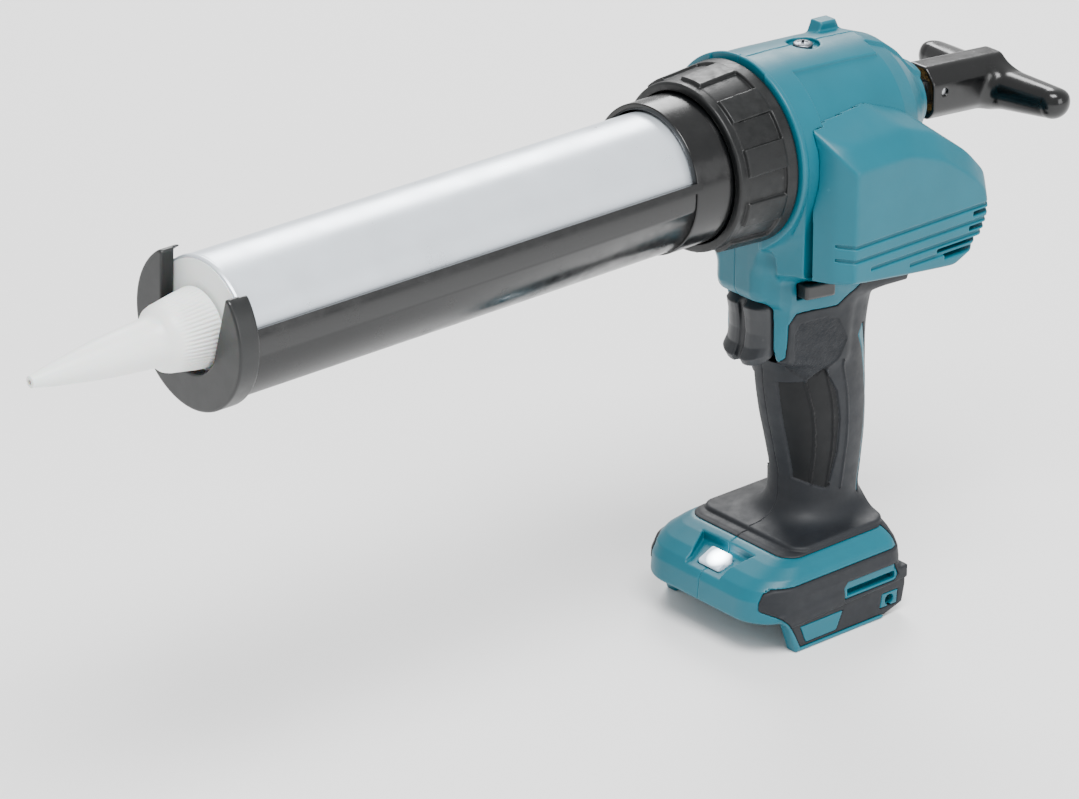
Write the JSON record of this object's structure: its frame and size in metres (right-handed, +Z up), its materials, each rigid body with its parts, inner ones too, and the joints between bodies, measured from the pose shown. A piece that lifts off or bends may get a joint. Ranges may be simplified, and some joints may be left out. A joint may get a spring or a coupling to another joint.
{
  "type": "cordless caulking gun",
  "caption": "Pistol-grip cordless caulking gun: cartridge trough with screw ring, motor-driven toothed push rod with T-handle, trigger, lock-off button and open battery foot.",
  "frame": {"origin": "on the barrel axis, in the plane where the retaining ring meets the housing", "axes": "+X from the nozzle towards the pull handle along the barrel axis, +Y to the tool's right side, +Z up"},
  "size_m": [0.4612, 0.0883, 0.2322],
  "materials": {
    "teal_plastic": "fine moulded texture",
    "grip_rubber": "soft matt",
    "black_gloss": "polished",
    "black_satin": "satin",
    "ring_plastic": "worn moulded texture",
    "tube_foil": "smooth",
    "white_plastic": "translucent",
    "steel": "machined",
    "zinc": "plated",
    "cast_alloy": "as cast",
    "sintered": "sintered",
    "copper": "wound",
    "brass": "turned",
    "magnet": "ferrite",
    "carbon": "pressed carbon",
    "circuit": "lacquered",
    "switch_plastic": "moulded",
    "lead_red": "insulated",
    "clear_lens": "clear"
  },
  "bodies": {
    "housing": {"housing_left": "teal_plastic", "housing_right": "teal_plastic", "motor_cover": "teal_plastic", "grip_cover_left": "grip_rubber", "grip_cover_right": "grip_rubber", "front_socket": "cast_alloy", "rod_guide_front": "brass", "rod_guide_rear": "brass", "gear_case": "cast_alloy", "gear_case_cover": "cast_alloy", "pinion_bearing": "brass", "ring_gear": "sintered", "motor_can": "zinc", "motor_magnets": "magnet", "brush_cap": "switch_plastic", "carbon_brushes": "carbon", "shaft_bearings": "steel", "trigger_spring": "steel", "switch_unit": "switch_plastic", "dial_pin": "steel", "control_board": "circuit", "terminal_block": "switch_plastic", "terminal_blades": "brass", "battery_leads": "lead_red", "led_lens": "clear_lens", "led_board": "circuit", "hook_nuts": "brass", "top_screw": "zinc", "housing_screws": "zinc"},
    "rod": {"push_rod": "steel", "piston": "zinc", "piston_screw": "zinc", "pull_handle": "black_gloss", "handle_pin": "steel"},
    "holder": {"holder_trough": "black_gloss", "holder_front_plate": "black_satin", "cartridge_tube": "tube_foil", "cartridge_head": "white_plastic", "cartridge_plunger": "white_plastic"},
    "nozzle": {"nozzle": "white_plastic"},
    "ring": {"retaining_ring": "ring_plastic"},
    "trigger": {"trigger": "black_satin"},
    "lock": {"lock_button": "black_satin"},
    "dial": {"speed_dial": "black_satin"},
    "pinion": {"output_pinion": "sintered"},
    "rotor": {"motor_shaft": "steel", "armature": "copper", "commutator": "copper", "cooling_fan": "switch_plastic", "sun_gear": "sintered"},
    "carrier": {"planet_carrier": "steel"},
    "planet_1": {"planet_gear_1": "sintered"},
    "planet_2": {"planet_gear_2": "sintered"},
    "planet_3": {"planet_gear_3": "sintered"}
  },
  "joints": [
    {"name": "rod_slide", "type": "slide", "parent": "housing", "child": "rod", "axis": [1, 0, 0], "range_m": [0, 0.216]},
    {"name": "pinion_spin", "type": "hinge", "parent": "housing", "child": "pinion", "pos_m": [0.047, 0, -0.021], "axis": [0, 1, 0], "range_deg": [0, 830]},
    {"name": "holder_turn", "type": "hinge", "parent": "housing", "child": "holder", "pos_m": [-0.02, 0, 0], "axis": [1, 0, 0], "continuous": true},
    {"name": "nozzle_turn", "type": "hinge", "parent": "holder", "child": "nozzle", "pos_m": [-0.255, 0, 0], "axis": [1, 0, 0], "continuous": true},
    {"name": "ring_turn", "type": "hinge", "parent": "housing", "child": "ring", "pos_m": [-0.015, 0, 0], "axis": [1, 0, 0], "continuous": true},
    {"name": "trigger_pull", "type": "slide", "parent": "housing", "child": "trigger", "axis": [1, 0, 0], "range_m": [0, 0.006], "stiffness_N_per_m": 900, "springref_m": -0.003, "deforming": ["trigger_spring"]},
    {"name": "lock_off_slide", "type": "slide", "parent": "housing", "child": "lock", "axis": [0, 1, 0], "range_m": [-0.003, 0.003]},
    {"name": "speed_dial_turn", "type": "hinge", "parent": "housing", "child": "dial", "pos_m": [0.0685, 0, -0.0545], "axis": [0, 1, 0], "range_deg": [-150, 150]},
    {"name": "motor_spin", "type": "hinge", "parent": "housing", "child": "rotor", "pos_m": [0.047, 0, -0.021], "axis": [0, 1, 0], "continuous": true},
    {"name": "carrier_spin", "type": "hinge", "parent": "housing", "child": "carrier", "pos_m": [0.047, 0.01, -0.021], "axis": [0, 1, 0], "continuous": true},
    {"name": "planet_spin_1", "type": "hinge", "parent": "carrier", "child": "planet_1", "pos_m": [0.0566, 0.016, -0.021], "axis": [0, 1, 0], "continuous": true},
    {"name": "planet_spin_2", "type": "hinge", "parent": "carrier", "child": "planet_2", "pos_m": [0.0422, 0.016, -0.02931], "axis": [0, 1, 0], "continuous": true},
    {"name": "planet_spin_3", "type": "hinge", "parent": "carrier", "child": "planet_3", "pos_m": [0.0422, 0.016, -0.01269], "axis": [0, 1, 0], "continuous": true}
  ],
  "couplings": [
    {"joint": "pinion_spin", "follows": "rod_slide", "rad_per_m": 66.667},
    {"joint": "carrier_spin", "follows": "motor_spin", "ratio": 0.25},
    {"joint": "planet_spin_1", "follows": "motor_spin", "ratio": -0.75},
    {"joint": "planet_spin_2", "follows": "motor_spin", "ratio": -0.75},
    {"joint": "planet_spin_3", "follows": "motor_spin", "ratio": -0.75}
  ]
}
